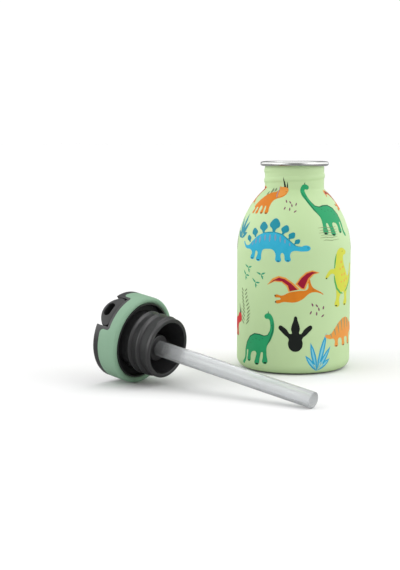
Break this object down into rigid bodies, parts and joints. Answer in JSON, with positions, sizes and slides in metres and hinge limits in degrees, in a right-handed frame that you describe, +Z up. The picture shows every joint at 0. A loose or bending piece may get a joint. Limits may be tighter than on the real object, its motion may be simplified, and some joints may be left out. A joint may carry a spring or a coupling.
{
  "type": "straw-lid water bottle",
  "caption": "Small single-wall steel drinking bottle standing open, with its screw lid, flip-up spout and clear straw lying beside it.",
  "frame": {"origin": "centre of the bottle's base, on the surface that the bottle stands on", "axes": "+Z up along the bottle's axis through its mouth; the lid lies on its side towards -X and -Y"},
  "size_m": [0.141, 0.1494, 0.1162],
  "materials": {
    "powder_coat": "fine matt powder coat, light green, over steel",
    "bare_steel": "polished stainless steel",
    "black_plastic": "fine-textured moulded polypropylene",
    "green_grip": "satin overmoulded elastomer, sage green",
    "black_silicone": "satin black silicone",
    "clear_silicone": "translucent silicone",
    "clear_plastic": "frosted translucent polypropylene"
  },
  "bodies": {
    "bottle": {"bottle_shell": "powder_coat", "base_plate": "bare_steel"},
    "lid": {"cap_shell": "black_plastic", "grip_sleeve": "green_grip", "thread_plug": "black_plastic", "lid_gasket": "black_silicone", "port_seal": "clear_silicone", "vent_valve": "clear_silicone", "hinge_pins": "bare_steel"},
    "spout": {"spout_arm": "black_plastic", "mouthpiece": "black_silicone"},
    "straw": {"straw": "clear_plastic"}
  },
  "joints": [
    {"name": "lid_lift", "type": "slide", "parent": "bottle", "child": "lid", "axis": [0, 0, 1], "range_m": [0, 0.15]},
    {"name": "spout_flip", "type": "hinge", "parent": "lid", "child": "spout", "pos_m": [-0.09093, -0.04189, 0.02255], "axis": [-0.5216, -0.4898, -0.6986], "range_deg": [0, 90]},
    {"name": "straw_pull", "type": "slide", "parent": "lid", "child": "straw", "axis": [0.7785, -0.6082, -0.1548], "range_m": [0, 0.009]}
  ]
}
